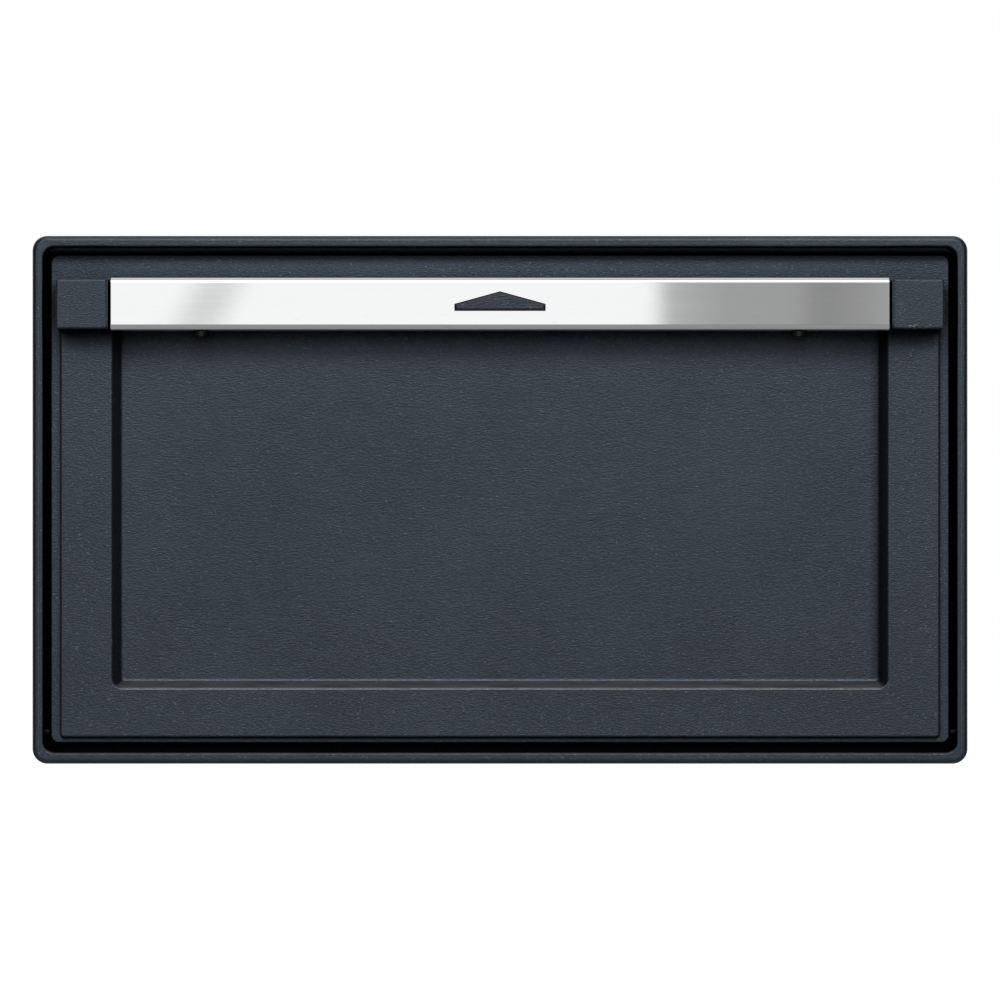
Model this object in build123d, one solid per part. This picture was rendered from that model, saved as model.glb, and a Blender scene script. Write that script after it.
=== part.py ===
from build123d import *
from math import cos, radians, tan
import os

# Ash pit door for a masonry stove, in millimetres.
# +X is to the right, +Y goes into the masonry and +Z is up. The origin is the middle of the frame,
# on the wall's face. A "level" is a distance forward of the seat, the ring of the frame that the
# leaf shuts against, so level 0 is the seat and a level below 0 lies inside the wall opening.

# Frame: flange, rim bead and collar in one casting
frame_width = 410.0
frame_height = 231.7
frame_corner_radius = 6.5
flange_thick = 4.0
rim_width = 5.0
rim_height = 13.0
rim_inner_radius = 5.0
rim_outer_edge_radius = 2.2
rim_inner_edge_radius = 0.9
rim_draft_run = 0.3
seat_side_width = 10.0
seat_end_width = 10.85
opening_corner_radius = 5.0
opening_edge_radius = 0.8
collar_depth = 40.0
collar_wall = 4.5
collar_root_radius = 3.0
collar_end_radius = 1.0
collar_draft_run = 0.5
anchor_hole_diameter = 7.0
anchor_hole_spacing = 110.0
anchor_hole_depth = 24.0

# Leaf: one drafted casting that swings on two pins in its bottom corners
leaf_side_gap = 3.0
leaf_top_gap = 3.6
leaf_foot_gap = 4.3
leaf_thick = 8.2
leaf_corner_radius = 3.5
leaf_edge_radius = 0.8
seat_gap = 0.3
heel_radius = 4.7

# Raised border on the leaf's left, right and lower sides
border_rise = 2.5
border_side_inset = 4.3
border_foot_inset = 1.7
border_corner_radius = 1.6
border_edge_radius = 0.8
border_foot_run = 1.2
border_side_run = 0.2
border_side_width = 22.7
border_foot_width = 22.2

# Recess inside the border, with sloping walls, and the hollow behind the border
recess_floor_thick = 4.7
recess_wall_run = 3.9
recess_foot_run = 3.1
recess_corner_radius = 4.5
recess_floor_corner_radius = 1.8
recess_top_drop = 0.95
recess_edge_radius = 1.0
recess_foot_radius = 1.2
relief_wall = 5.5
relief_width = 12.0
relief_outer_inset = 11.0
relief_foot_inset = 10.0
relief_top_gap = 10.45
relief_corner_radius = 4.0
relief_draft_run = 0.5

# Handle bar: two blocks and the bridge between them, in one casting
handle_side_gap = 6.0
handle_drop = 21.8
block_width = 22.8
block_height = 22.0
block_rise = 12.5
block_edge_radius = 1.1
block_face_radius = 0.9
block_draft_run = 0.2
bridge_depth = 8.2
bridge_front_step = 0.3
bridge_rear_radius = 2.0
bridge_neck_depth = 3.0
bridge_neck_overlap = 0.4
web_foot_gap = 1.0

# Pointer: a low gable cast on the bridge, which stands through a window in the cover
pointer_half_width = 19.6
pointer_base = -2.8
pointer_shoulder = -0.3
pointer_apex = 5.1
pointer_proud = 1.0
pointer_bevel = 0.8
pointer_window_gap = 0.3

# Handle cover: a folded sheet of stainless steel over the bridge
cover_sheet = 0.8
cover_height = 23.6
cover_depth = 9.8
cover_bend_radius = 2.8
cover_end_radius = 0.35
cover_slip = 0.1
cover_end_gap = 1.2

# Screws, their tapped holes drawn at the shank's own size plus a hair
thread_gap = 0.03
clearance_hole_gap = 0.25
cover_screw_diameter = 4.0
cover_screw_length = 10.0
cover_screw_head_diameter = 7.0
cover_screw_head_height = 2.6
cover_screw_spacing = 261.0
handle_screw_diameter = 5.0
handle_screw_length = 20.0
handle_screw_head_diameter = 9.6
handle_screw_sink = 0.2
handle_screw_stagger = 5.2
catch_screw_diameter = 4.0
catch_screw_length = 5.6
catch_screw_head_diameter = 7.0
catch_screw_head_height = 2.6
screw_head_bevel = 0.5
screw_tip_bevel = 0.5
screw_slot_width = 1.1
screw_slot_depth = 1.2
tap_end_gap = 0.6

# Hinge pins, pressed into the rim and running in the leaf
pin_diameter = 4.0
pin_running_gap = 0.05
pin_engagement = 13.0
pin_end_gap = 1.0
pin_chamfer = 0.4

# Catches: spring strips on pads behind the top of the leaf
catch_spacing = 240.0
catch_width = 16.0
catch_strip_thick = 0.8
catch_ceiling_gap = 1.1
catch_slope = 48.0
catch_hump_radius = 3.0
catch_bend_radius = 3.0
catch_rise_run = 9.0
catch_fall_run = 7.0
catch_base_length = 30.0
catch_screw_pitch = 14.0
catch_screw_low = 6.0
pad_thick = 1.8
pad_margin = 1.5
pad_corner_radius = 3.0

# Sizes and levels that follow from those above
rim_inner_width = frame_width - 2 * rim_width
rim_inner_height = frame_height - 2 * rim_width
opening_width = rim_inner_width - 2 * seat_side_width
opening_height = rim_inner_height - 2 * seat_end_width
leaf_width = rim_inner_width - 2 * leaf_side_gap
leaf_top = rim_inner_height / 2 - leaf_top_gap
leaf_foot = leaf_foot_gap - rim_inner_height / 2
handle_width = rim_inner_width - 2 * handle_side_gap
handle_centre_height = leaf_top - handle_drop
recess_floor_top = handle_centre_height - recess_top_drop
relief_top = handle_centre_height - block_height / 2 - relief_top_gap
ledge_level = seat_gap + leaf_thick
border_level = ledge_level + border_rise
recess_floor_level = seat_gap + recess_floor_thick
axis_level = seat_gap + heel_radius
axis_height = leaf_foot + heel_radius
block_level = border_level + block_rise
bridge_level = block_level - bridge_front_step
cover_level = bridge_level + cover_sheet
bridge_height = cover_height - 2 * cover_sheet - 2 * cover_slip
bridge_web = bridge_level - bridge_depth - border_level - web_foot_gap
block_inner_half = handle_width / 2 - block_width
cover_half = block_inner_half - cover_end_gap
screw_row_level = bridge_level - bridge_depth / 2
sides = {"left": -1, "right": 1}

# How far a tool reaches past what it cuts, and how near an edge must lie to be picked
overshoot = 1.0
near = 0.1


def depth(level):
    """The Y of a level."""
    return -(flange_thick + level)


def facing(level):
    """The plane parallel to the wall at a level, as seen from the front."""
    return Plane(origin=(0, depth(level), 0), x_dir=(1, 0, 0), z_dir=(0, -1, 0))


def slab(sketch, low, high):
    """A straight-sided solid between two levels."""
    return extrude(facing(low) * sketch, amount=high - low)


def drafted(low, low_sketch, high, high_sketch):
    """A solid between two levels whose sides slope from one outline to the other."""
    return loft([facing(low) * low_sketch, facing(high) * high_sketch], ruled=True)


def span(x0, x1, z0, z1, radius=0.0):
    """A rectangle given by its sides, its corners rounded if a radius is given."""
    shape = Rectangle(x1 - x0, z1 - z0) if radius == 0 else RectangleRounded(x1 - x0, z1 - z0, radius)
    return Pos((x0 + x1) / 2, (z0 + z1) / 2) * shape


def cross_rod(diameter, x0, x1, level, z):
    """A round bar along X."""
    rod = Cylinder(diameter / 2, abs(x1 - x0), rotation=(0, 90, 0))
    return Pos((x0 + x1) / 2, depth(level), z) * rod


def edges_at_level(solid, level):
    """The edges that lie wholly in one plane parallel to the wall."""
    y = depth(level)
    return solid.edges().filter_by_position(Axis.Y, y - 0.001, y + 0.001)


def headed_screw(diameter, length, head_diameter, head_height):
    """A slotted cheese-head screw along Z, with its head above z = 0."""
    head = Pos(0, 0, head_height / 2) * Cylinder(head_diameter / 2, head_height)
    head = chamfer(head.edges().sort_by(Axis.Z)[-1], screw_head_bevel)
    shank = Pos(0, 0, -length / 2) * Cylinder(diameter / 2, length)
    shank = chamfer(shank.edges().sort_by(Axis.Z)[0], screw_tip_bevel)
    slot = Pos(0, 0, head_height) * Box(head_diameter, screw_slot_width, 2 * screw_slot_depth)
    return head + shank - slot


def countersunk_screw(diameter, length, head_diameter):
    """A slotted countersunk screw along Z, with the flat of its head at z = 0."""
    head_height = (head_diameter - diameter) / 2
    head = Pos(0, 0, -head_height / 2) * Cone(diameter / 2, head_diameter / 2, head_height)
    shank = Pos(0, 0, -length / 2) * Cylinder(diameter / 2, length)
    shank = chamfer(shank.edges().sort_by(Axis.Z)[0], screw_tip_bevel)
    slot = Box(head_diameter, screw_slot_width, 2 * screw_slot_depth)
    return head + shank - slot


def handle_screw_places():
    """Each handle screw's name, x and z: two a block, on its diagonal."""
    centre = handle_width / 2 - block_width / 2
    places = []
    for side, sign in sides.items():
        for row, step in (("upper", 1), ("lower", -1)):
            x = sign * (centre - step * handle_screw_stagger)
            places.append((f"{side}_{row}", x, handle_centre_height + step * handle_screw_stagger))
    return places


def catch_screw_places():
    """Each catch screw's name, x and z: two a strip, one above the other."""
    places = []
    for side, sign in sides.items():
        low = catch_foot_height() + catch_screw_low
        for row, z in (("lower", low), ("upper", low + catch_screw_pitch)):
            places.append((f"{side}_{row}", sign * catch_spacing / 2, z))
    return places


def catch_corner_height():
    """The height where the hump's two straight runs would meet, above its rounded top."""
    top = opening_height / 2 - catch_ceiling_gap - catch_strip_thick / 2
    return top + catch_hump_radius * (1 / cos(radians(catch_slope)) - 1)


def catch_knee_height():
    """The height where the strip leaves its pad."""
    return catch_corner_height() - catch_rise_run * tan(radians(catch_slope))


def catch_foot_height():
    """The height of the strip's lower end."""
    return catch_knee_height() - catch_base_length


def make_frame():
    """Flange and rim bead, the seat inside them, and the collar that goes into the masonry."""
    back = RectangleRounded(frame_width, frame_height, frame_corner_radius)
    crest = RectangleRounded(
        frame_width - 2 * rim_draft_run, frame_height - 2 * rim_draft_run, frame_corner_radius
    )
    flange = drafted(-flange_thick, back, rim_height, crest)
    pocket_foot = RectangleRounded(
        rim_inner_width - 2 * rim_draft_run, rim_inner_height - 2 * rim_draft_run, rim_inner_radius
    )
    pocket_mouth = RectangleRounded(rim_inner_width, rim_inner_height, rim_inner_radius)
    tray = flange - drafted(0, pocket_foot, rim_height, pocket_mouth)
    half_width = rim_inner_width / 2 + near
    half_height = rim_inner_height / 2 + near
    outer_edge = [
        e for e in edges_at_level(tray, rim_height)
        if abs(e.center().X) > half_width or abs(e.center().Z) > half_height
    ]
    tray = fillet(outer_edge, rim_outer_edge_radius)
    inner_edge = [
        e for e in edges_at_level(tray, rim_height)
        if abs(e.center().X) < half_width and abs(e.center().Z) < half_height
    ]
    tray = fillet(inner_edge, rim_inner_edge_radius)

    root_width = opening_width + 2 * collar_wall
    root_height = opening_height + 2 * collar_wall
    outer_radius = opening_corner_radius + collar_wall
    end_level = -flange_thick - collar_depth
    collar = drafted(
        end_level,
        RectangleRounded(
            root_width - 2 * collar_draft_run, root_height - 2 * collar_draft_run, outer_radius
        ),
        -flange_thick,
        RectangleRounded(root_width, root_height, outer_radius),
    )
    casting = tray + collar
    inside_root = [
        e for e in edges_at_level(casting, -flange_thick)
        if abs(e.center().X) < rim_inner_width / 2 and abs(e.center().Z) < rim_inner_height / 2
    ]
    casting = fillet(inside_root, collar_root_radius)
    way_through = drafted(
        end_level,
        RectangleRounded(
            opening_width + 2 * collar_draft_run,
            opening_height + 2 * collar_draft_run,
            opening_corner_radius,
        ),
        0,
        RectangleRounded(opening_width, opening_height, opening_corner_radius),
    )
    casting = casting - way_through
    seat_edge = [
        e for e in edges_at_level(casting, 0)
        if abs(e.center().X) < opening_width / 2 + near and abs(e.center().Z) < opening_height / 2 + near
    ]
    casting = fillet(seat_edge, opening_edge_radius)
    casting = fillet(edges_at_level(casting, end_level), collar_end_radius)

    for z in (-anchor_hole_spacing / 2, anchor_hole_spacing / 2):
        casting = casting - cross_rod(
            anchor_hole_diameter, -frame_width / 2, frame_width / 2,
            -flange_thick - anchor_hole_depth, z,
        )
    for sign in sides.values():
        casting = casting - cross_rod(
            pin_diameter, sign * (rim_inner_width / 2 - leaf_side_gap), sign * frame_width / 2,
            axis_level, axis_height,
        )
    return casting


def make_leaf():
    """The plate with its raised border, sloping recess, hollow back and screw holes."""
    half_width = leaf_width / 2
    plate = slab(span(-half_width, half_width, leaf_foot, leaf_top), seat_gap, ledge_level)
    heel = edges_at_level(plate, seat_gap).sort_by(Axis.Z)[0]
    plate = fillet(heel, heel_radius)
    plate = plate & slab(
        span(-half_width, half_width, leaf_foot, leaf_top, leaf_corner_radius), seat_gap, ledge_level
    )
    plate = fillet(edges_at_level(plate, ledge_level), leaf_edge_radius)

    border_half = half_width - border_side_inset
    border_foot = leaf_foot + border_foot_inset
    border_top = handle_centre_height + block_height / 2 - block_edge_radius
    border = drafted(
        ledge_level - leaf_edge_radius,
        span(-border_half, border_half, border_foot, border_top, border_corner_radius),
        border_level,
        span(
            -border_half + border_side_run, border_half - border_side_run,
            border_foot + border_foot_run, border_top, border_corner_radius,
        ),
    )
    border = fillet(edges_at_level(border, border_level), border_edge_radius)
    leaf = plate + border

    recess_half = border_half - border_side_width
    recess_foot = border_foot + border_foot_width
    floor_half = recess_half - recess_wall_run
    floor_foot = recess_foot + recess_foot_run
    mouth_top = recess_floor_top + recess_wall_run
    recess = drafted(
        recess_floor_level,
        span(-floor_half, floor_half, floor_foot, recess_floor_top, recess_floor_corner_radius),
        border_level,
        span(-recess_half, recess_half, recess_foot, mouth_top, recess_corner_radius),
    )
    slope = recess_wall_run / (border_level - recess_floor_level)
    ledge_half = recess_half - slope * (border_level - ledge_level)
    throat = drafted(
        ledge_level, span(-ledge_half, ledge_half, 0, leaf_top),
        border_level, span(-recess_half, recess_half, 0, leaf_top),
    )
    recess = fillet(edges_at_level(recess, recess_floor_level), recess_foot_radius)
    leaf = leaf - recess - throat
    mouth = [
        e for e in edges_at_level(leaf, border_level)
        if abs(e.center().X) < recess_half + near
        and recess_foot - near < e.center().Z < border_top - border_edge_radius - near
    ]
    leaf = fillet(mouth, recess_edge_radius)

    leaf = leaf - make_relief(half_width)
    for sign in sides.values():
        pad = span(
            sign * catch_spacing / 2 - catch_width / 2 - pad_margin,
            sign * catch_spacing / 2 + catch_width / 2 + pad_margin,
            catch_foot_height() - pad_margin, catch_knee_height() - catch_bend_radius, pad_corner_radius,
        )
        leaf = leaf + slab(pad, seat_gap - pad_thick, seat_gap + overshoot)
        leaf = leaf - cross_rod(
            pin_diameter + 2 * pin_running_gap, sign * (half_width - pin_engagement - pin_end_gap),
            sign * (half_width + overshoot), axis_level, axis_height,
        )
    for _, x, z in handle_screw_places():
        leaf = leaf - make_sunk_hole(x, z)
    for _, x, z in catch_screw_places():
        bore = Circle(catch_screw_diameter / 2 + thread_gap)
        face = seat_gap - pad_thick
        bottom = face + catch_screw_length - catch_strip_thick + tap_end_gap
        leaf = leaf - slab(Pos(x, z) * bore, face - overshoot, bottom)
    return leaf


def make_relief(half_width):
    """The hollow behind the border that keeps the casting's wall even: two legs and a foot."""
    outer = half_width - relief_outer_inset
    inner = outer - relief_width
    foot = leaf_foot + relief_foot_inset
    depth_level = border_level - relief_wall
    run = relief_draft_run
    small_radius = relief_corner_radius - run
    hollow = drafted(
        seat_gap, span(-outer, outer, foot, foot + relief_width, relief_corner_radius),
        depth_level,
        span(-outer + run, outer - run, foot + run, foot + relief_width - run, small_radius),
    )
    for sign in sides.values():
        x0, x1 = sorted((sign * inner, sign * outer))
        hollow = hollow + drafted(
            seat_gap, span(x0, x1, foot, relief_top, relief_corner_radius),
            depth_level, span(x0 + run, x1 - run, foot + run, relief_top - run, small_radius),
        )
    return hollow


def make_sunk_hole(x, z):
    """A clearance hole through the leaf, with its countersink on the back."""
    hole_radius = handle_screw_diameter / 2 + clearance_hole_gap
    mouth_radius = handle_screw_head_diameter / 2 + handle_screw_sink
    hole = slab(Pos(x, z) * Circle(hole_radius), seat_gap - overshoot, border_level)
    cone_height = mouth_radius - hole_radius
    sink = drafted(
        seat_gap, Pos(x, z) * Circle(mouth_radius),
        seat_gap + cone_height, Pos(x, z) * Circle(hole_radius),
    )
    return hole + sink


def make_handle_bar():
    """The bridge with its pointer, standing on two blocks."""
    z0 = handle_centre_height - block_height / 2
    z1 = handle_centre_height + block_height / 2
    run = block_draft_run
    bridge = slab(
        span(
            -block_inner_half - overshoot, block_inner_half + overshoot,
            handle_centre_height - bridge_height / 2, handle_centre_height + bridge_height / 2,
        ),
        bridge_level - bridge_depth, bridge_level,
    )
    long_edges = bridge.edges().filter_by(Axis.X)
    bridge = fillet(long_edges.sort_by(Axis.Y)[:2], cover_bend_radius - cover_sheet)
    bridge = fillet(bridge.edges().filter_by(Axis.X).sort_by(Axis.Y)[-2:], bridge_rear_radius)
    bar = bridge
    for sign in sides.values():
        x0, x1 = sorted((sign * block_inner_half, sign * handle_width / 2))
        block = drafted(
            border_level, span(x0, x1, z0, z1, block_edge_radius),
            block_level, span(x0 + run, x1 - run, z0 + run, z1 - run, block_edge_radius),
        )
        block = fillet(edges_at_level(block, block_level), block_face_radius)
        bar = bar + block + make_web(sign)
        x0, x1 = sorted((sign * (cover_half - bridge_neck_overlap), sign * block_inner_half))
        bar = bar - slab(
            span(x0, x1, z0 - overshoot, z1 + overshoot), bridge_level - bridge_neck_depth,
            bridge_level + overshoot,
        )

    outline = Polyline(
        (-pointer_half_width, pointer_base), (pointer_half_width, pointer_base),
        (pointer_half_width, pointer_shoulder), (0, pointer_apex),
        (-pointer_half_width, pointer_shoulder), close=True,
    )
    pointer_level = cover_level + pointer_proud
    pointer = slab(
        Pos(0, handle_centre_height) * make_face(outline), bridge_level - overshoot, pointer_level
    )
    pointer = chamfer(edges_at_level(pointer, pointer_level), pointer_bevel)
    bar = bar + pointer

    for _, x, z in handle_screw_places():
        bore = Circle(handle_screw_diameter / 2 + thread_gap)
        tip = seat_gap + handle_screw_sink + handle_screw_length + tap_end_gap
        bar = bar - slab(Pos(x, z) * bore, border_level - overshoot, tip)
    for sign in sides.values():
        bore_depth = cover_screw_length - cover_sheet - cover_slip + tap_end_gap
        bottom = handle_centre_height - bridge_height / 2
        bore = Cylinder(cover_screw_diameter / 2 + thread_gap, 2 * bore_depth)
        bar = bar - Pos(sign * cover_screw_spacing / 2, depth(screw_row_level), bottom) * bore
    return bar


def make_web(sign):
    """The sloping web that stiffens the corner between a block and the bridge's back."""
    back = depth(bridge_level - bridge_depth)
    half = bridge_height / 2 - bridge_rear_radius
    corner = sign * block_inner_half
    outline = Polyline(
        (corner + sign * overshoot, back - overshoot), (corner - sign * bridge_web, back - overshoot),
        (corner - sign * bridge_web, back), (corner, back + bridge_web),
        (corner + sign * overshoot, back + bridge_web), close=True,
    )
    face = Pos(0, 0, handle_centre_height - half) * make_face(outline)
    return extrude(face, amount=2 * half, dir=(0, 0, 1))


def make_handle_cover():
    """A folded channel of sheet over the bridge, with a window for the pointer and two screw holes."""
    back_level = cover_level - cover_depth
    z0 = handle_centre_height - cover_height / 2
    z1 = handle_centre_height + cover_height / 2
    outer = slab(span(-cover_half, cover_half, z0, z1), back_level, cover_level)
    outer = fillet(outer.edges().filter_by(Axis.X).sort_by(Axis.Y)[:2], cover_bend_radius)
    inner = slab(
        span(-cover_half - overshoot, cover_half + overshoot, z0 + cover_sheet, z1 - cover_sheet),
        back_level - overshoot, cover_level - cover_sheet,
    )
    inner = fillet(inner.edges().filter_by(Axis.X).sort_by(Axis.Y)[:2], cover_bend_radius - cover_sheet)
    cover = outer - inner
    ends = [
        e for e in cover.edges()
        if abs(abs(e.center().X) - cover_half) < near and e.center().Y < depth(cover_level) + near
    ]
    cover = fillet(ends, cover_end_radius)

    gap = pointer_window_gap
    roof_slope = (pointer_apex - pointer_shoulder) / pointer_half_width
    half = pointer_half_width + gap
    window = Polyline(
        (-half, pointer_base - gap), (half, pointer_base - gap),
        (half, pointer_shoulder + gap), (0, pointer_shoulder + gap + roof_slope * half),
        (-half, pointer_shoulder + gap), close=True,
    )
    cover = cover - slab(
        Pos(0, handle_centre_height) * make_face(window),
        cover_level - cover_sheet - overshoot / 2, cover_level + overshoot,
    )
    for sign in sides.values():
        hole = Cylinder(cover_screw_diameter / 2 + clearance_hole_gap, 2 * cover_sheet + overshoot)
        cover = cover - Pos(sign * cover_screw_spacing / 2, depth(screw_row_level), z0) * hole
    return cover


def make_catch_spring(sign):
    """A spring strip: flat on its pad, then a hump that rubs the collar's ceiling, then a free tail."""
    middle = depth(seat_gap - pad_thick) + catch_strip_thick / 2
    corner_y = middle + catch_rise_run
    corner_z = catch_corner_height()
    path = FilletPolyline(
        (middle, catch_foot_height()),
        (middle, catch_knee_height()),
        (corner_y, corner_z),
        (corner_y + catch_fall_run, corner_z - catch_fall_run * tan(radians(catch_slope))),
        radius=[catch_bend_radius, catch_hump_radius],
    )
    x = sign * catch_spacing / 2
    plane = Plane(origin=(x - catch_width / 2, 0, 0), x_dir=(0, 1, 0), z_dir=(1, 0, 0))
    strip = extrude(plane * trace(path, catch_strip_thick), amount=catch_width)
    for _, screw_x, z in catch_screw_places():
        if screw_x * sign > 0:
            hole = Cylinder(
                catch_screw_diameter / 2 + clearance_hole_gap, catch_strip_thick + overshoot,
                rotation=(90, 0, 0),
            )
            strip = strip - Pos(screw_x, middle, z) * hole
    return strip


def make_hinge_pin(sign):
    """A steel pin, pressed into the rim and reaching into the leaf."""
    x0 = sign * (leaf_width / 2 - pin_engagement)
    x1 = sign * (frame_width / 2 - pin_end_gap)
    pin = cross_rod(pin_diameter, x0, x1, axis_level, axis_height)
    return chamfer(pin.edges().filter_by(GeomType.CIRCLE), pin_chamfer)


def make_parts():
    """Every node's solid, by name."""
    parts = {
        "frame": make_frame(),
        "leaf": make_leaf(),
        "handle_bar": make_handle_bar(),
        "handle_cover": make_handle_cover(),
    }
    cover_face = handle_centre_height - cover_height / 2
    cover_screw = headed_screw(
        cover_screw_diameter, cover_screw_length, cover_screw_head_diameter, cover_screw_head_height
    )
    handle_screw = countersunk_screw(
        handle_screw_diameter, handle_screw_length, handle_screw_head_diameter
    )
    catch_screw = headed_screw(
        catch_screw_diameter, catch_screw_length, catch_screw_head_diameter, catch_screw_head_height
    )
    for side, sign in sides.items():
        parts[f"hinge_pin_{side}"] = make_hinge_pin(sign)
        parts[f"catch_spring_{side}"] = make_catch_spring(sign)
        place = Location((sign * cover_screw_spacing / 2, depth(screw_row_level), cover_face), (180, 0, 0))
        parts[f"cover_screw_{side}"] = place * cover_screw
    for name, x, z in handle_screw_places():
        place = Location((x, depth(seat_gap + handle_screw_sink), z), (-90, 0, 0))
        parts[f"handle_screw_{name}"] = place * handle_screw
    strip_back = depth(seat_gap - pad_thick) + catch_strip_thick
    for name, x, z in catch_screw_places():
        parts[f"catch_screw_{name}"] = Location((x, strip_back, z), (-90, 0, 0)) * catch_screw
    return parts


os.makedirs("parts", exist_ok=True)
for node, solid in make_parts().items():
    export_step(solid, f"parts/{node}.step")
    print(f"{node}: {solid.volume / 1000:.2f} cm3, {len(solid.solids())} solid, valid {solid.is_valid}")
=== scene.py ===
import bpy
import numpy as np
from bpy.props import FloatProperty, FloatVectorProperty, PointerProperty
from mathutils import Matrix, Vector


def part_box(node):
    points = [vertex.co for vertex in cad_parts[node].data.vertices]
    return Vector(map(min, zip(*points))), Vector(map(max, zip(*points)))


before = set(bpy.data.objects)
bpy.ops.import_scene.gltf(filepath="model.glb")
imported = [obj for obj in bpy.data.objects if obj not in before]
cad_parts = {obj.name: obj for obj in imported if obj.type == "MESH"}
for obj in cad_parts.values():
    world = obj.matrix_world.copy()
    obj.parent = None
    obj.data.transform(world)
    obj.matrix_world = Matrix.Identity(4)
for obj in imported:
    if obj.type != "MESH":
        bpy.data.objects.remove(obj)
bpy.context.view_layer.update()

bl_info = {
    "name": "Ash Pit Door Finishes",
    "version": (1, 0, 0),
    "blender": (4, 5, 0),
    "location": "View3D > Sidebar > Ash Pit Door",
    "description": "Paint, steel and hardware finishes of a cast-iron ash pit door, and its studio",
    "category": "Object",
}

# Lengths are in metres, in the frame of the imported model: the door's front faces -Y
MM = 0.001
castings = ("frame", "leaf", "handle_bar")
screws = tuple(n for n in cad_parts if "_screw_" in n)
pins = tuple(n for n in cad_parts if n.startswith("hinge_pin"))
springs = tuple(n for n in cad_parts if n.startswith("catch_spring"))

# Places on the leaf that no box gives, from the door's middle. The floor's middle lies between its face
# and its back, along Y.
recess_side = 165.8 * MM
recess_top = 88.0 * MM
recess_foot = -78.9 * MM
border_ridge = -82.65 * MM
recess_floor_middle = -7.5 * MM

# The scuffs on the right block, from the door's middle
flake_ends = (175.0 * MM, 187.5 * MM)
line_ends = (173.0 * MM, 176.5 * MM)

# What the cover mirrors from beside the camera. A turn is how far a direction points sideways for each
# metre that it points forward. The grey card has ramps (from, to, light left), and past its end (from, to)
# the white wall shows again. A stand before the wall is (from, to, softness, light lost). One of them
# leans sideways by stand_lean for each metre up.
card_ramps = ((0.0218, 0.0250, 0.46), (0.0240, 0.0345, 0.78))
card_end = (0.060, 0.078)
leaning_stand = (-0.0458, -0.0394, 0.0024, 0.29)
upright_stands = ((0.0446, 0.0500, 0.0022, 0.24), (0.0500, 0.0545, 0.0022, 0.15))
stand_lean = -0.5
stand_offset = 0.0143
# Higher up the card and the stands pale: from and to, as height for each metre forward, and what is left
fade_up = (0.10, 0.50, 0.35)

# The soft box above the door, and the floor: its own grey, and how bright it is to the eye and mirrored
soft_box_place = (0.0, -1.3, 1.05)
soft_box_size = (1.5, 0.5)
floor_grey = 0.25
floor_seen = 0.92
floor_mirrored = 0.15


class IronFinish(bpy.types.PropertyGroup):
    """Black stove paint over the skin that moulding sand leaves."""
    colour: FloatVectorProperty(
        name="Paint", description="Colour of the stove paint", subtype="COLOR",
        size=3, min=0, max=1, default=(0.067, 0.082, 0.103))
    roughness: FloatProperty(
        name="Roughness", description="Satin of the paint", min=0, max=1, default=0.43, subtype="FACTOR")
    gloss: FloatProperty(
        name="Gloss", description="Share of the colour that is reflected, as by graphite in the paint",
        min=0, max=1, default=0.97, subtype="FACTOR")
    # Painted shade: how far round a hollow the shade looks for pieces that hide the sky
    painted_shade_reach: FloatProperty(
        name="Soot reach", description="How far round a hollow the soot is looked for", unit="LENGTH",
        default=30 * MM)
    # Painted shade: the near-black colour put in grooves, hollows, under the handle bar and along the
    # leaf's top edge
    painted_shade_colour: FloatVectorProperty(
        name="Soot", description="Colour of the soot and shade in the grooves", subtype="COLOR",
        size=3, min=0, max=1, default=(0.0012, 0.0012, 0.0013))
    # Ash dust and painted light: faces that look up turn lighter, partly as ash, partly standing in for
    # the light from above
    dust_and_top_light_colour: FloatVectorProperty(
        name="Ash dust", description="Colour of the ash that lies on what faces up", subtype="COLOR",
        size=3, min=0, max=1, default=(0.112, 0.107, 0.107))
    dust_and_top_light: FloatProperty(
        name="Dust", description="How much ash lies on what faces up", min=0, max=1, default=0.85,
        subtype="FACTOR")
    # Colour of the scuff flakes on the right block, and of the painted highlights along the recess's foot
    scuff_and_highlight_colour: FloatVectorProperty(
        name="Scuffs", description="Colour of flakes on the right block and of the recess's rubbed foot",
        subtype="COLOR", size=3, min=0, max=1, default=(0.30, 0.32, 0.35))
    grain_length: FloatProperty(
        name="Grain length", description="Length of a grain in the cast skin, along X", unit="LENGTH",
        default=1.35 * MM)
    grain_width: FloatProperty(
        name="Grain width", description="Width of a grain in the cast skin", unit="LENGTH",
        default=0.55 * MM)
    grain_depth: FloatProperty(
        name="Grain depth", description="Depth of the grain", unit="LENGTH", default=0.21 * MM)
    wave_length: FloatProperty(
        name="Wave length", description="Spacing of the casting's slow unevenness", unit="LENGTH",
        default=9 * MM)
    wave_depth: FloatProperty(
        name="Wave depth", description="Depth of the casting's slow unevenness", unit="LENGTH",
        default=0.10 * MM)


class SteelFinish(bpy.types.PropertyGroup):
    """Stainless sheet, ground along its length and rubbed nearly bright."""
    colour: FloatVectorProperty(
        name="Steel", description="Colour of the sheet", subtype="COLOR", size=3, min=0, max=1,
        default=(0.90, 0.905, 0.91))
    roughness: FloatProperty(
        name="Roughness", description="Haze of the reflection", min=0, max=1, default=0.02,
        subtype="FACTOR")
    brush_width: FloatProperty(
        name="Brush line width", description="Spacing of the grinding lines", unit="LENGTH",
        default=0.35 * MM)
    brush_depth: FloatProperty(
        name="Brush line depth", description="Depth of the grinding lines", unit="LENGTH",
        default=0.0006 * MM)
    marks: FloatProperty(
        name="Finger marks", description="Strength of the marks along the lower half", min=0, max=1,
        default=0.5, subtype="FACTOR")
    mark_colour: FloatVectorProperty(
        name="Mark colour", description="Colour of the finger marks", subtype="COLOR", size=3,
        min=0, max=1, default=(0.80, 0.81, 0.82))


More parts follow.
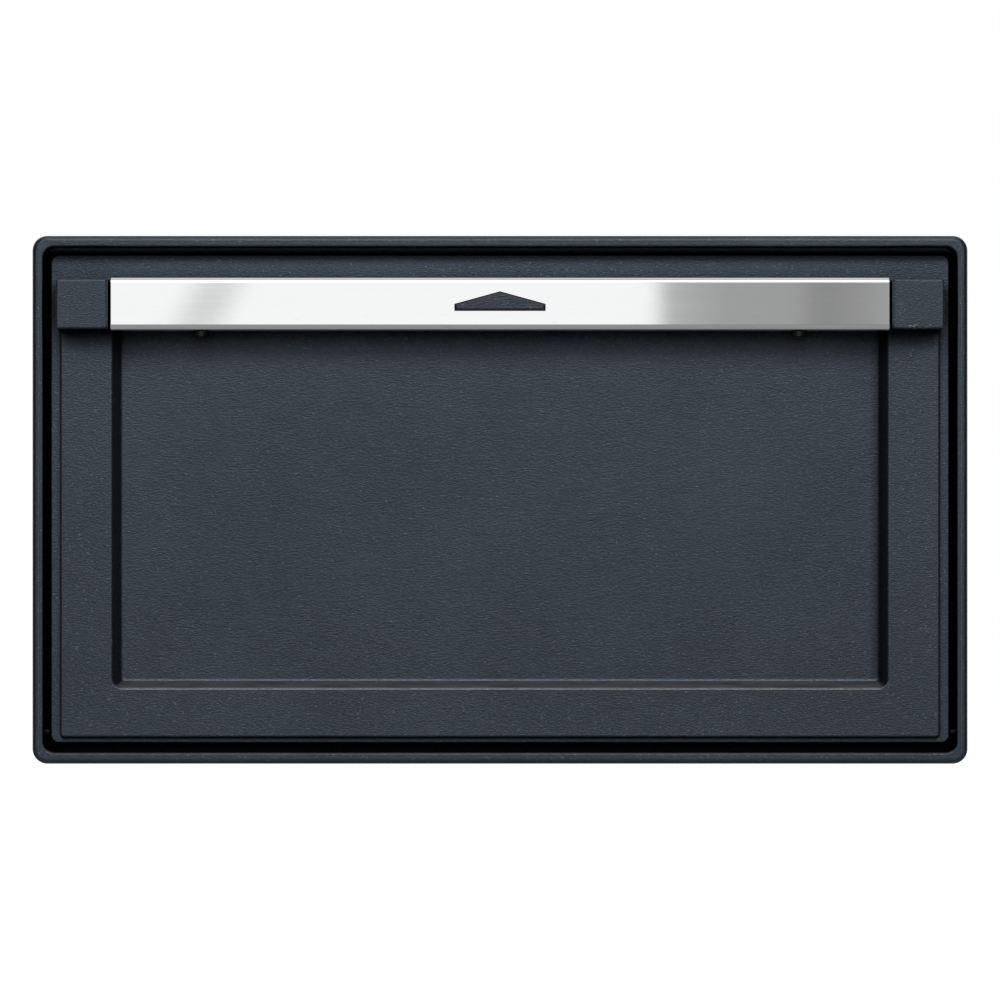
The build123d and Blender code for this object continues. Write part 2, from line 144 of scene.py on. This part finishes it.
class HardwareFinish(bpy.types.PropertyGroup):
    """Screws, hinge pins and spring strips."""
    screw_colour: FloatVectorProperty(
        name="Screws", description="Darkened steel of the screws", subtype="COLOR", size=3,
        min=0, max=1, default=(0.035, 0.035, 0.037))
    pin_colour: FloatVectorProperty(
        name="Pins", description="Blackened steel of the hinge pins", subtype="COLOR", size=3,
        min=0, max=1, default=(0.030, 0.030, 0.032))
    spring_colour: FloatVectorProperty(
        name="Springs", description="Blued steel of the spring strips", subtype="COLOR", size=3,
        min=0, max=1, default=(0.22, 0.23, 0.27))
    roughness: FloatProperty(
        name="Roughness", description="Dullness of the hardware", min=0, max=1, default=0.38,
        subtype="FACTOR")


class StudioSetup(bpy.types.PropertyGroup):
    """Camera, light and floor."""
    camera_distance: FloatProperty(
        name="Camera distance", description="From the rim's crest to the camera", unit="LENGTH",
        default=3.0)
    outline_width: FloatProperty(
        name="Outline in the picture", description="Width of the door as a share of the picture",
        default=0.9367)
    camera_drop: FloatProperty(
        name="Camera drop", description="How far the camera stands below the door's middle",
        unit="LENGTH", default=0.10 * MM)
    floor_drop: FloatProperty(
        name="Floor drop", description="From the door's middle down to the floor", unit="LENGTH",
        default=0.26)
    floor_radius: FloatProperty(
        name="Floor radius", description="Radius of the round floor", unit="LENGTH", default=6.0)
    top_lamp_power: FloatProperty(
        name="Top lamp", description="Power of the soft box above the door", unit="POWER", default=8.0)
    front_light: FloatProperty(
        name="Front light", description="Brightness of the white wall behind the camera", default=1.02)
    side_light: FloatProperty(
        name="Side light", description="Brightness of the room at the sides", default=0.03)
    ceiling_light: FloatProperty(
        name="Ceiling light", description="Brightness straight above, against the front", default=0.6)


def settings():
    """The scene's values of every finish."""
    return bpy.context.scene.pit_door


def add_node(tree, kind, values=None, **attributes):
    """A node of a kind, with attributes set and inputs filled from values or linked from sockets."""
    node = tree.nodes.new(kind)
    for name, value in attributes.items():
        setattr(node, name, value)
    for key, value in (values or {}).items():
        if isinstance(value, bpy.types.NodeSocket):
            tree.links.new(value, node.inputs[key])
        else:
            node.inputs[key].default_value = value
    return node


def calculate(tree, operation, *values):
    """A Math node's result."""
    return add_node(tree, "ShaderNodeMath", dict(enumerate(values)), operation=operation).outputs[0]


def multiply(tree, first, *others):
    """The product of two or more values."""
    for value in others:
        first = calculate(tree, "MULTIPLY", first, value)
    return first


def smooth_range(tree, value, start, end, low=0.0, high=1.0):
    """A value that eases from low at start to high at end."""
    node = add_node(
        tree, "ShaderNodeMapRange",
        {"Value": value, "From Min": start, "From Max": end, "To Min": low, "To Max": high},
        interpolation_type="SMOOTHSTEP", clamp=True)
    return node.outputs["Result"]


def mix_colours(tree, share, first, second):
    """A colour between two colours."""
    node = add_node(tree, "ShaderNodeMix", data_type="RGBA")
    for index, value in ((0, share), (6, first), (7, second)):
        if isinstance(value, bpy.types.NodeSocket):
            tree.links.new(value, node.inputs[index])
        elif index == 0:
            node.inputs[index].default_value = value
        else:
            node.inputs[index].default_value = (*value, 1.0)
    return node.outputs[2]


def band(tree, value, start, end, soft):
    """One between start and end, zero outside them, with soft flanks."""
    entering = smooth_range(tree, value, start - soft, start + soft)
    leaving = smooth_range(tree, value, end - soft, end + soft, 1.0, 0.0)
    return multiply(tree, entering, leaving)


def new_group(name, inputs, outputs):
    """An empty shader group with float or vector sockets, and its input and output nodes."""
    group = bpy.data.node_groups.new(name, "ShaderNodeTree")
    for label, kind, default in inputs:
        socket = group.interface.new_socket(label, in_out="INPUT", socket_type=kind)
        if default is not None:
            socket.default_value = default
    for label, kind in outputs:
        group.interface.new_socket(label, in_out="OUTPUT", socket_type=kind)
    return group, add_node(group, "NodeGroupInput"), add_node(group, "NodeGroupOutput")


def noise_of(tree, vector, spacing, detail=2.0, roughness=0.5):
    """Noise whose blobs are spacing apart along X, Y and Z, from 0 to 1 about 0.5."""
    stretched = add_node(
        tree, "ShaderNodeMapping", {"Vector": vector, "Scale": [1 / s for s in spacing]})
    noise = add_node(
        tree, "ShaderNodeTexNoise",
        {"Vector": stretched.outputs[0], "Scale": 1.0, "Detail": detail, "Roughness": roughness})
    return noise.outputs["Fac"]


def build_cast_skin_group(look):
    """Sand-cast skin: short grains that lie along X, specks, and slow waves of the casting."""
    group, entry, result = new_group(
        "cast_skin",
        [("Vector", "NodeSocketVector", None), ("Grain Depth", "NodeSocketFloat", look.grain_depth),
         ("Wave Depth", "NodeSocketFloat", look.wave_depth)],
        [("Height", "NodeSocketFloat"), ("Tone", "NodeSocketFloat"), ("Speck", "NodeSocketFloat")])
    vector = entry.outputs["Vector"]
    grain = noise_of(group, vector, (look.grain_length, look.grain_width, look.grain_width), 2.0, 0.6)
    wave = noise_of(group, vector, (look.wave_length,) * 3, 1.0, 0.4)
    patch = noise_of(group, vector, (7 * look.wave_length,) * 3, 3.0, 0.55)
    speck_noise = noise_of(group, vector, (1.1 * MM,) * 3, 0.0)
    speck = smooth_range(group, speck_noise, 0.72, 0.80)
    grain_height = multiply(group, grain, entry.outputs["Grain Depth"])
    wave_height = multiply(group, wave, entry.outputs["Wave Depth"])
    height = calculate(group, "ADD", grain_height, wave_height)
    tone = calculate(
        group, "ADD", smooth_range(group, grain, 0.25, 0.75, 0.86, 1.14),
        smooth_range(group, patch, 0.3, 0.7, -0.06, 0.06))
    for label, socket in (("Height", height), ("Tone", tone), ("Speck", speck)):
        group.links.new(socket, result.inputs[label])
    return group


def build_edge_wear_and_highlight_group():
    """A mask of convex edges, from how far the rounded normal turns from the surface's own: worn paint and
    a painted edge highlight.
    """
    group, entry, result = new_group(
        "edge_wear_and_highlight",
        [("Radius", "NodeSocketFloat", 0.8 * MM), ("Strength", "NodeSocketFloat", 0.175)],
        [("Mask", "NodeSocketFloat")])
    rounded = add_node(group, "ShaderNodeBevel", {"Radius": entry.outputs["Radius"]}, samples=4)
    own = add_node(group, "ShaderNodeNewGeometry").outputs["Normal"]
    dot = add_node(group, "ShaderNodeVectorMath", {0: rounded.outputs[0], 1: own}, operation="DOT_PRODUCT")
    turned = smooth_range(group, dot.outputs["Value"], 0.995, 0.90)
    group.links.new(multiply(group, turned, entry.outputs["Strength"]), result.inputs["Mask"])
    return group


def build_painted_shade_group(look):
    """A mask of painted shade: darkening in hollows whose sky nearby pieces hide, most of all from above,
    a painted shadow along the leaf's top edge under the rim, and painted shade in the corner along the
    recess's right wall."""
    group, entry, result = new_group(
        "painted_shade", [("Vector", "NodeSocketVector", None), ("Reach", "NodeSocketFloat", look.painted_shade_reach)],
        [("Mask", "NodeSocketFloat")])
    own = add_node(group, "ShaderNodeNewGeometry").outputs["Normal"]
    lifted = add_node(group, "ShaderNodeVectorMath", {0: own, 1: (0, 0, 0.8)}, operation="ADD")
    upward = add_node(group, "ShaderNodeVectorMath", {0: lifted.outputs[0]}, operation="NORMALIZE")
    open_sky = add_node(
        group, "ShaderNodeAmbientOcclusion",
        {"Distance": entry.outputs["Reach"], "Normal": upward.outputs[0]}, samples=12)
    # Painted shade where nearby pieces hide the sky, most of all from above: grooves and under the handle
    # bar
    shade_in_hollows = smooth_range(group, open_sky.outputs["AO"], 0.26, 0.66, 1.0, 0.0)
    across, away, up = add_node(
        group, "ShaderNodeSeparateXYZ", {0: entry.outputs["Vector"]}).outputs
    low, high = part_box("leaf")
    # A painted shadow along the leaf's top edge, as the rim above it would cast
    lip_shadow = multiply(
        group, band(group, up, high.z - 2.6 * MM, high.z + 3 * MM, 2.3 * MM),
        band(group, across, low.x - 0.5 * MM, high.x + 0.5 * MM, 0.5 * MM), 0.9)
    middle = recess_floor_middle
    # Painted shade in the corner along the recess's right wall
    corner_shade = multiply(
        group, band(group, across, recess_side - 2.2 * MM, recess_side + 2.2 * MM, 2.0 * MM),
        band(group, up, recess_foot + 0.4 * MM, recess_top, 1.5 * MM),
        smooth_range(group, away, middle - 0.5 * MM, middle + 0.5 * MM, 0.45, 0.0))
    mask = calculate(group, "MAXIMUM", calculate(group, "MAXIMUM", shade_in_hollows, lip_shadow), corner_shade)
    fading = smooth_range(group, up, high.z + 1.0 * MM, high.z + 4.6 * MM, 1.0, 0.05)
    group.links.new(multiply(group, mask, fading), result.inputs["Mask"])
    return group


def build_dust_and_top_light_group(look):
    """A mask of ash dust and painted top light: the share of a face that looks up in the object's own
    space, broken up; these faces turn lighter, partly as ash, partly as the light from above would make
    them.
    """
    group, entry, result = new_group(
        "ash_dust_and_top_light",
        [("Vector", "NodeSocketVector", None), ("Facing", "NodeSocketVector", None),
         ("Amount", "NodeSocketFloat", look.dust_and_top_light)],
        [("Mask", "NodeSocketFloat")])
    up = add_node(group, "ShaderNodeSeparateXYZ", {0: entry.outputs["Facing"]}).outputs[2]
    lying = smooth_range(group, up, 0.50, 0.86)
    cloud = noise_of(group, entry.outputs["Vector"], (14 * MM, 3 * MM, 3 * MM), 4.0, 0.6)
    uneven = smooth_range(group, cloud, 0.25, 0.65, 0.55, 1.0)
    group.links.new(multiply(group, lying, uneven, entry.outputs["Amount"]), result.inputs["Mask"])
    return group


def build_scuff_group():
    """A mask of flakes along the lower edge of the right block, and of a few lines above them."""
    group, entry, result = new_group(
        "block_scuffs", [("Vector", "NodeSocketVector", None)], [("Mask", "NodeSocketFloat")])
    vector = entry.outputs["Vector"]
    across, _, up = add_node(group, "ShaderNodeSeparateXYZ", {0: vector}).outputs
    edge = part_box("handle_bar")[0].z
    flake_noise = noise_of(group, vector, (1.5 * MM, 0.7 * MM, 0.6 * MM), 3.0, 0.6)
    flakes = multiply(
        group, smooth_range(group, flake_noise, 0.55, 0.62), band(group, across, *flake_ends, 1.5 * MM),
        band(group, up, edge - 0.5 * MM, edge + 2.0 * MM, 0.5 * MM))
    line_noise = noise_of(group, vector, (0.5 * MM, 3 * MM, 3.5 * MM), 2.0, 0.5)
    lines = multiply(
        group, smooth_range(group, line_noise, 0.60, 0.66), band(group, across, *line_ends, 0.8 * MM),
        band(group, up, edge + 4 * MM, edge + 12 * MM, 2 * MM), 0.4)
    group.links.new(calculate(group, "MAXIMUM", flakes, lines), result.inputs["Mask"])
    return group


def build_painted_highlight_group():
    """A mask of painted highlights: two lighter lines at the foot of the leaf's recess and on the border's
    ridge below it.
    """
    group, entry, result = new_group(
        "foot_painted_highlight", [("Vector", "NodeSocketVector", None)], [("Mask", "NodeSocketFloat")])
    across, _, up = add_node(group, "ShaderNodeSeparateXYZ", {0: entry.outputs["Vector"]}).outputs
    foot = band(group, up, recess_foot - 0.4 * MM, recess_foot + 0.4 * MM, 0.35 * MM)
    ridge = band(group, up, border_ridge - 0.45 * MM, border_ridge + 0.45 * MM, 0.25 * MM)
    lines = calculate(group, "ADD", multiply(group, foot, 0.22), multiply(group, ridge, 0.42))
    wide = band(group, across, -recess_side - 0.2 * MM, recess_side + 0.2 * MM, 1.5 * MM)
    group.links.new(multiply(group, lines, wide), result.inputs["Mask"])
    return group


def build_brush_group(look):
    """Grinding lines along X: fine ones for the height, broader ones for the tone and the haze."""
    group, entry, result = new_group(
        "brush_lines",
        [("Vector", "NodeSocketVector", None), ("Depth", "NodeSocketFloat", look.brush_depth)],
        [("Height", "NodeSocketFloat"), ("Tone", "NodeSocketFloat")])
    width = look.brush_width
    fine = noise_of(group, entry.outputs["Vector"], (400 * width, width, width), 3.0, 0.6)
    broad = noise_of(group, entry.outputs["Vector"], (500 * width, 6 * width, 6 * width), 2.0, 0.5)
    height = multiply(group, fine, entry.outputs["Depth"])
    group.links.new(height, result.inputs["Height"])
    group.links.new(smooth_range(group, broad, 0.25, 0.75), result.inputs["Tone"])
    return group


def new_material(name):
    """A material with an empty tree, its Principled shader, and the object's own coordinates."""
    material = bpy.data.materials.new(name)
    material.use_nodes = True
    tree = material.node_tree
    tree.nodes.clear()
    shader = add_node(tree, "ShaderNodeBsdfPrincipled")
    output = add_node(tree, "ShaderNodeOutputMaterial")
    tree.links.new(shader.outputs[0], output.inputs["Surface"])
    place = add_node(tree, "ShaderNodeTexCoord").outputs["Object"]
    return material, tree, shader, place


def bump(tree, height, shader):
    """Feeds a height in metres to the shader as a bump."""
    node = add_node(tree, "ShaderNodeBump", {"Height": height, "Distance": 1.0, "Strength": 1.0})
    tree.links.new(node.outputs[0], shader.inputs["Normal"])


def place_group(tree, group, values=None):
    """A group's node in a material, with its own values."""
    return add_node(tree, "ShaderNodeGroup", values, node_tree=group)


def group_named(name, build, *arguments):
    """A shared group, built the first time that it is asked for."""
    return bpy.data.node_groups.get(name) or build(*arguments)


def paint_material(name, look):
    """Black stove paint on cast iron."""
    material, tree, shader, place = new_material(name)
    skin = place_group(tree, group_named("cast_skin", build_cast_skin_group, look), {"Vector": place})
    wear_and_highlight = place_group(tree, group_named("edge_wear_and_highlight", build_edge_wear_and_highlight_group))
    toned = mix_colours(
        tree, multiply(tree, skin.outputs["Tone"], 0.8), (0.0, 0.0, 0.0),
        tuple(1.25 * c for c in look.colour))
    speckled = mix_colours(
        tree, multiply(tree, skin.outputs["Speck"], 0.5), toned,
        tuple(2.2 * c for c in look.colour))
    # Convex edges turn lighter: partly worn paint, partly a painted highlight along the edges
    rubbed_and_highlit = mix_colours(tree, wear_and_highlight.outputs["Mask"], speckled, tuple(1.8 * c for c in look.colour))
    scuffs = place_group(tree, group_named("block_scuffs", build_scuff_group), {"Vector": place})
    scuffed = mix_colours(tree, scuffs.outputs["Mask"], rubbed_and_highlit, tuple(look.scuff_and_highlight_colour))
    facing = add_node(tree, "ShaderNodeTexCoord").outputs["Normal"]
    # Ash dust and painted top light: faces that look up turn lighter
    dust_and_top_light = place_group(
        tree, group_named("ash_dust_and_top_light", build_dust_and_top_light_group, look), {"Vector": place, "Facing": facing})
    dusty_and_lit = mix_colours(tree, dust_and_top_light.outputs["Mask"], scuffed, tuple(look.dust_and_top_light_colour))
    # Painted highlights: two lighter lines along the recess's foot and the border's ridge, where the light
    # catches the fillets
    foot_highlight = place_group(tree, group_named("foot_painted_highlight", build_painted_highlight_group), {"Vector": place})
    highlit = mix_colours(tree, foot_highlight.outputs["Mask"], dusty_and_lit, tuple(look.scuff_and_highlight_colour))
    # Painted shade: the colour darkens to near black where nearby pieces hide the sky, as in grooves and
    # under the bar
    painted_shade = place_group(tree, group_named("painted_shade", build_painted_shade_group, look), {"Vector": place})
    shaded_base = mix_colours(tree, painted_shade.outputs["Mask"], highlit, tuple(look.painted_shade_colour))
    tree.links.new(shaded_base, shader.inputs["Base Color"])
    rough = calculate(
        tree, "MULTIPLY_ADD", skin.outputs["Tone"], 0.12, look.roughness - 0.12)
    tree.links.new(rough, shader.inputs["Roughness"])
    gloss = smooth_range(tree, dust_and_top_light.outputs["Mask"], 0.0, 1.0, look.gloss, 0.0)
    tree.links.new(gloss, shader.inputs["Metallic"])
    shader.inputs["Specular IOR Level"].default_value = 0.2
    bump(tree, skin.outputs["Height"], shader)
    return material


def steel_material(name, look):
    """Ground stainless sheet."""
    material, tree, shader, place = new_material(name)
    lines = place_group(tree, group_named("brush_lines", build_brush_group, look), {"Vector": place})
    shade = tuple(0.985 * c for c in look.colour)
    ground = mix_colours(tree, lines.outputs["Tone"], shade, tuple(look.colour))
    up = add_node(tree, "ShaderNodeSeparateXYZ", {0: place}).outputs[2]
    low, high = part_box("handle_cover")
    handled = smooth_range(tree, up, low.z + 2 * MM, (low.z + high.z) / 2, 1.0, 0.15)
    blot = smooth_range(tree, noise_of(tree, place, (9 * MM, 4 * MM, 2.5 * MM), 5.0, 0.62), 0.56, 0.68)
    marked = mix_colours(tree, multiply(tree, blot, handled, look.marks), ground, tuple(look.mark_colour))
    tree.links.new(marked, shader.inputs["Base Color"])
    rough = calculate(tree, "MULTIPLY_ADD", lines.outputs["Tone"], 0.01, look.roughness - 0.005)
    tree.links.new(rough, shader.inputs["Roughness"])
    shader.inputs["Metallic"].default_value = 1.0
    bump(tree, lines.outputs["Height"], shader)
    return material


def hardware_material(name, colour, roughness):
    """Steel of the small parts, a little uneven in tone, with the same painted shade as the castings."""
    material, tree, shader, place = new_material(name)
    cloud = noise_of(tree, place, (2 * MM,) * 3, 3.0)
    toned = mix_colours(tree, cloud, tuple(0.75 * c for c in colour), tuple(colour))
    iron = settings().iron
    # The same painted shade as on the castings
    painted_shade = place_group(tree, group_named("painted_shade", build_painted_shade_group, iron), {"Vector": place})
    shaded_base = mix_colours(tree, painted_shade.outputs["Mask"], toned, tuple(iron.painted_shade_colour))
    tree.links.new(shaded_base, shader.inputs["Base Color"])
    rough = smooth_range(tree, cloud, 0.3, 0.7, roughness - 0.06, roughness + 0.06)
    tree.links.new(rough, shader.inputs["Roughness"])
    shader.inputs["Metallic"].default_value = 1.0
    bump(tree, multiply(tree, noise_of(tree, place, (0.4 * MM,) * 3), 0.01 * MM), shader)
    return material


def give_material(names, material):
    """Puts one material on every slot of these nodes."""
    for name in names:
        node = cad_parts[name]
        if not node.material_slots:
            node.data.materials.append(None)
        for slot in node.material_slots:
            slot.link = "OBJECT"
            slot.material = material


class PITDOOR_OT_castings(bpy.types.Operator):
    """Paint the frame, the leaf and the handle bar"""
    bl_idname = "pit_door.castings"
    bl_label = "Paint the Castings"

    def execute(self, context):
        give_material(castings, paint_material("stove_paint", settings().iron))
        return {"FINISHED"}


class PITDOOR_OT_cover(bpy.types.Operator):
    """Give the handle cover its ground steel"""
    bl_idname = "pit_door.cover"
    bl_label = "Finish the Handle Cover"

    def execute(self, context):
        give_material(("handle_cover",), steel_material("ground_steel", settings().steel))
        return {"FINISHED"}


class PITDOOR_OT_hardware(bpy.types.Operator):
    """Give the screws, hinge pins and spring strips their steels"""
    bl_idname = "pit_door.hardware"
    bl_label = "Finish the Hardware"

    def execute(self, context):
        look = settings().hardware
        give_material(screws, hardware_material("dark_screw", look.screw_colour, look.roughness))
        give_material(pins, hardware_material("blackened_pin", look.pin_colour, look.roughness))
        give_material(springs, hardware_material("blued_spring", look.spring_colour, look.roughness))
        return {"FINISHED"}


def mesh_round_grid(name, points):
    """A mesh over a grid of points, shape (turn, ring, 3), whose last turn joins its first."""
    rows, columns = points.shape[:2]
    index = np.arange(rows * columns).reshape(rows, columns)
    index = np.vstack([index, index[:1]])
    faces = np.stack([index[:-1, :-1], index[1:, :-1], index[1:, 1:], index[:-1, 1:]], axis=-1)
    mesh = bpy.data.meshes.new(name)
    mesh.from_pydata(points.reshape(-1, 3), [], faces.reshape(-1, 4).tolist())
    mesh.shade_smooth()
    return mesh


def rays(tree):
    """Whether a ray comes from the camera, and whether it was mirrored or let through."""
    path = add_node(tree, "ShaderNodeLightPath").outputs
    mirrored = calculate(tree, "MAXIMUM", path["Is Glossy Ray"], path["Is Transmission Ray"])
    return path["Is Camera Ray"], mirrored


def make_floor(studio):
    """A round floor: radius times (cos, sin) of the turn, rings closer together near its middle."""
    turn = np.linspace(0, 2 * np.pi, 96, endpoint=False)[:, None]
    ring = (np.linspace(1, 0.001, 24)[None, :] ** 2) * studio.floor_radius
    height = np.full((turn.size, ring.size), -studio.floor_drop)
    points = np.stack([np.cos(turn) * ring, np.sin(turn) * ring, height], axis=-1)
    floor = bpy.data.objects.new("floor", mesh_round_grid("floor", points))
    bpy.context.scene.collection.objects.link(floor)
    material, tree, shader, _ = new_material("pale_floor")
    shader.inputs["Base Color"].default_value = (floor_grey, floor_grey, floor_grey, 1.0)
    shader.inputs["Roughness"].default_value = 0.9
    shader.inputs["Specular IOR Level"].default_value = 0.0
    camera_ray, mirrored = rays(tree)
    seen = calculate(
        tree, "MAXIMUM", multiply(tree, camera_ray, floor_seen), multiply(tree, mirrored, floor_mirrored))
    shader.inputs["Emission Color"].default_value = (1.0, 1.0, 1.0, 1.0)
    tree.links.new(seen, shader.inputs["Emission Strength"])
    floor.data.materials.append(material)


def make_world(studio):
    """A white wall before the door, with the card and stands, and white where the camera looks."""
    world = bpy.data.worlds.new("studio_light")
    bpy.context.scene.world = world
    world.use_nodes = True
    tree = world.node_tree
    tree.nodes.clear()
    direction = add_node(tree, "ShaderNodeTexCoord").outputs["Generated"]
    across, away, up = add_node(tree, "ShaderNodeSeparateXYZ", {0: direction}).outputs
    sideways = calculate(tree, "ABSOLUTE", across)
    beside = smooth_range(tree, sideways, 0.15, 0.62, studio.front_light, studio.side_light)
    below = smooth_range(tree, up, -1.0, 0.0, 0.30, 1.0)
    above = smooth_range(tree, up, 0.35, 1.0, 1.0, studio.ceiling_light)
    light = multiply(tree, beside, below, above)

    forward = calculate(tree, "MAXIMUM", multiply(tree, away, -1.0), 0.01)
    steepness = calculate(tree, "DIVIDE", up, forward)
    turn = calculate(tree, "DIVIDE", across, forward)
    leaning = calculate(
        tree, "ADD", turn, calculate(tree, "MULTIPLY_ADD", steepness, stand_lean, stand_offset))
    ramps = [smooth_range(tree, turn, start, end, 1.0, left) for start, end, left in card_ramps]
    card = multiply(tree, *ramps)
    for place, stand in ((leaning, leaning_stand), *((turn, stand) for stand in upright_stands)):
        *width, loss = stand
        lost = multiply(tree, band(tree, place, *width), loss)
        card = multiply(tree, card, calculate(tree, "SUBTRACT", 1.0, lost))
    card = calculate(tree, "MAXIMUM", card, smooth_range(tree, turn, *card_end))
    fade_start, fade_end, fade_left = fade_up
    fade = smooth_range(tree, steepness, fade_start, fade_end, 1.0, fade_left)
    shade = multiply(tree, calculate(tree, "SUBTRACT", 1.0, card), fade)
    light = multiply(tree, light, calculate(tree, "SUBTRACT", 1.0, shade))

    camera_ray, mirrored = rays(tree)
    backdrop = multiply(tree, mirrored, smooth_range(tree, away, 0.35, 0.8))
    white = calculate(tree, "MAXIMUM", camera_ray, backdrop)
    strength = add_node(tree, "ShaderNodeMix", {0: white, 2: light, 3: 1.0}, data_type="FLOAT")
    background = add_node(
        tree, "ShaderNodeBackground", {"Color": (1, 1, 1, 1), "Strength": strength.outputs[0]})
    output = add_node(tree, "ShaderNodeOutputWorld")
    tree.links.new(background.outputs[0], output.inputs["Surface"])


def make_soft_box(power):
    """A rectangular lamp above the door, turned to face its middle."""
    data = bpy.data.lights.new("top_soft_box", "AREA")
    data.shape = "RECTANGLE"
    data.size, data.size_y = soft_box_size
    data.energy = power
    lamp = bpy.data.objects.new("top_soft_box", data)
    bpy.context.scene.collection.objects.link(lamp)
    lamp.location = soft_box_place
    lamp.rotation_mode = "QUATERNION"
    lamp.rotation_quaternion = (-Vector(soft_box_place)).to_track_quat("-Z", "Y")


def make_camera(studio):
    """A camera before the door, its lens set so that the outline fills its share of the picture."""
    low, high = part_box("frame")
    data = bpy.data.cameras.new("camera")
    data.lens = data.sensor_width * studio.outline_width * studio.camera_distance / (high.x - low.x)
    data.clip_start, data.clip_end = 0.1, 50.0
    camera = bpy.data.objects.new("camera", data)
    bpy.context.scene.collection.objects.link(camera)
    camera.location = ((low.x + high.x) / 2, low.y - studio.camera_distance, -studio.camera_drop)
    camera.rotation_mode = "QUATERNION"
    camera.rotation_quaternion = Vector((0, 1, 0)).to_track_quat("-Z", "Y")
    bpy.context.scene.camera = camera


class PITDOOR_OT_studio(bpy.types.Operator):
    """Set up the camera, the light and the floor"""
    bl_idname = "pit_door.studio"
    bl_label = "Set Up the Studio"

    def execute(self, context):
        studio = settings().studio
        make_camera(studio)
        make_world(studio)
        make_soft_box(studio.top_lamp_power)
        make_floor(studio)
        context.scene.view_settings.view_transform = "Standard"
        return {"FINISHED"}


class PITDOOR_PT_panel(bpy.types.Panel):
    """The door's finishes and studio, in the order that they are made"""
    bl_label = "Ash Pit Door"
    bl_space_type = "VIEW_3D"
    bl_region_type = "UI"
    bl_category = "Ash Pit Door"

    def draw(self, context):
        for group, operator in (
                ("iron", "castings"), ("steel", "cover"), ("hardware", "hardware"), ("studio", "studio")):
            box = self.layout.box()
            look = getattr(settings(), group)
            for name in look.__annotations__:
                box.prop(look, name)
            box.operator("pit_door." + operator)


class PitDoorSettings(bpy.types.PropertyGroup):
    """Every value of the door's finishes and studio."""
    iron: PointerProperty(type=IronFinish)
    steel: PointerProperty(type=SteelFinish)
    hardware: PointerProperty(type=HardwareFinish)
    studio: PointerProperty(type=StudioSetup)


classes = (
    IronFinish, SteelFinish, HardwareFinish, StudioSetup, PitDoorSettings,
    PITDOOR_OT_castings, PITDOOR_OT_cover, PITDOOR_OT_hardware, PITDOOR_OT_studio, PITDOOR_PT_panel)


def register():
    for entry in classes:
        bpy.utils.register_class(entry)
    bpy.types.Scene.pit_door = PointerProperty(type=PitDoorSettings)


def unregister():
    del bpy.types.Scene.pit_door
    for entry in reversed(classes):
        bpy.utils.unregister_class(entry)


def main():
    register()
    bpy.ops.pit_door.castings()
    bpy.ops.pit_door.cover()
    bpy.ops.pit_door.hardware()
    bpy.ops.pit_door.studio()


if __name__ == "__main__":
    main()
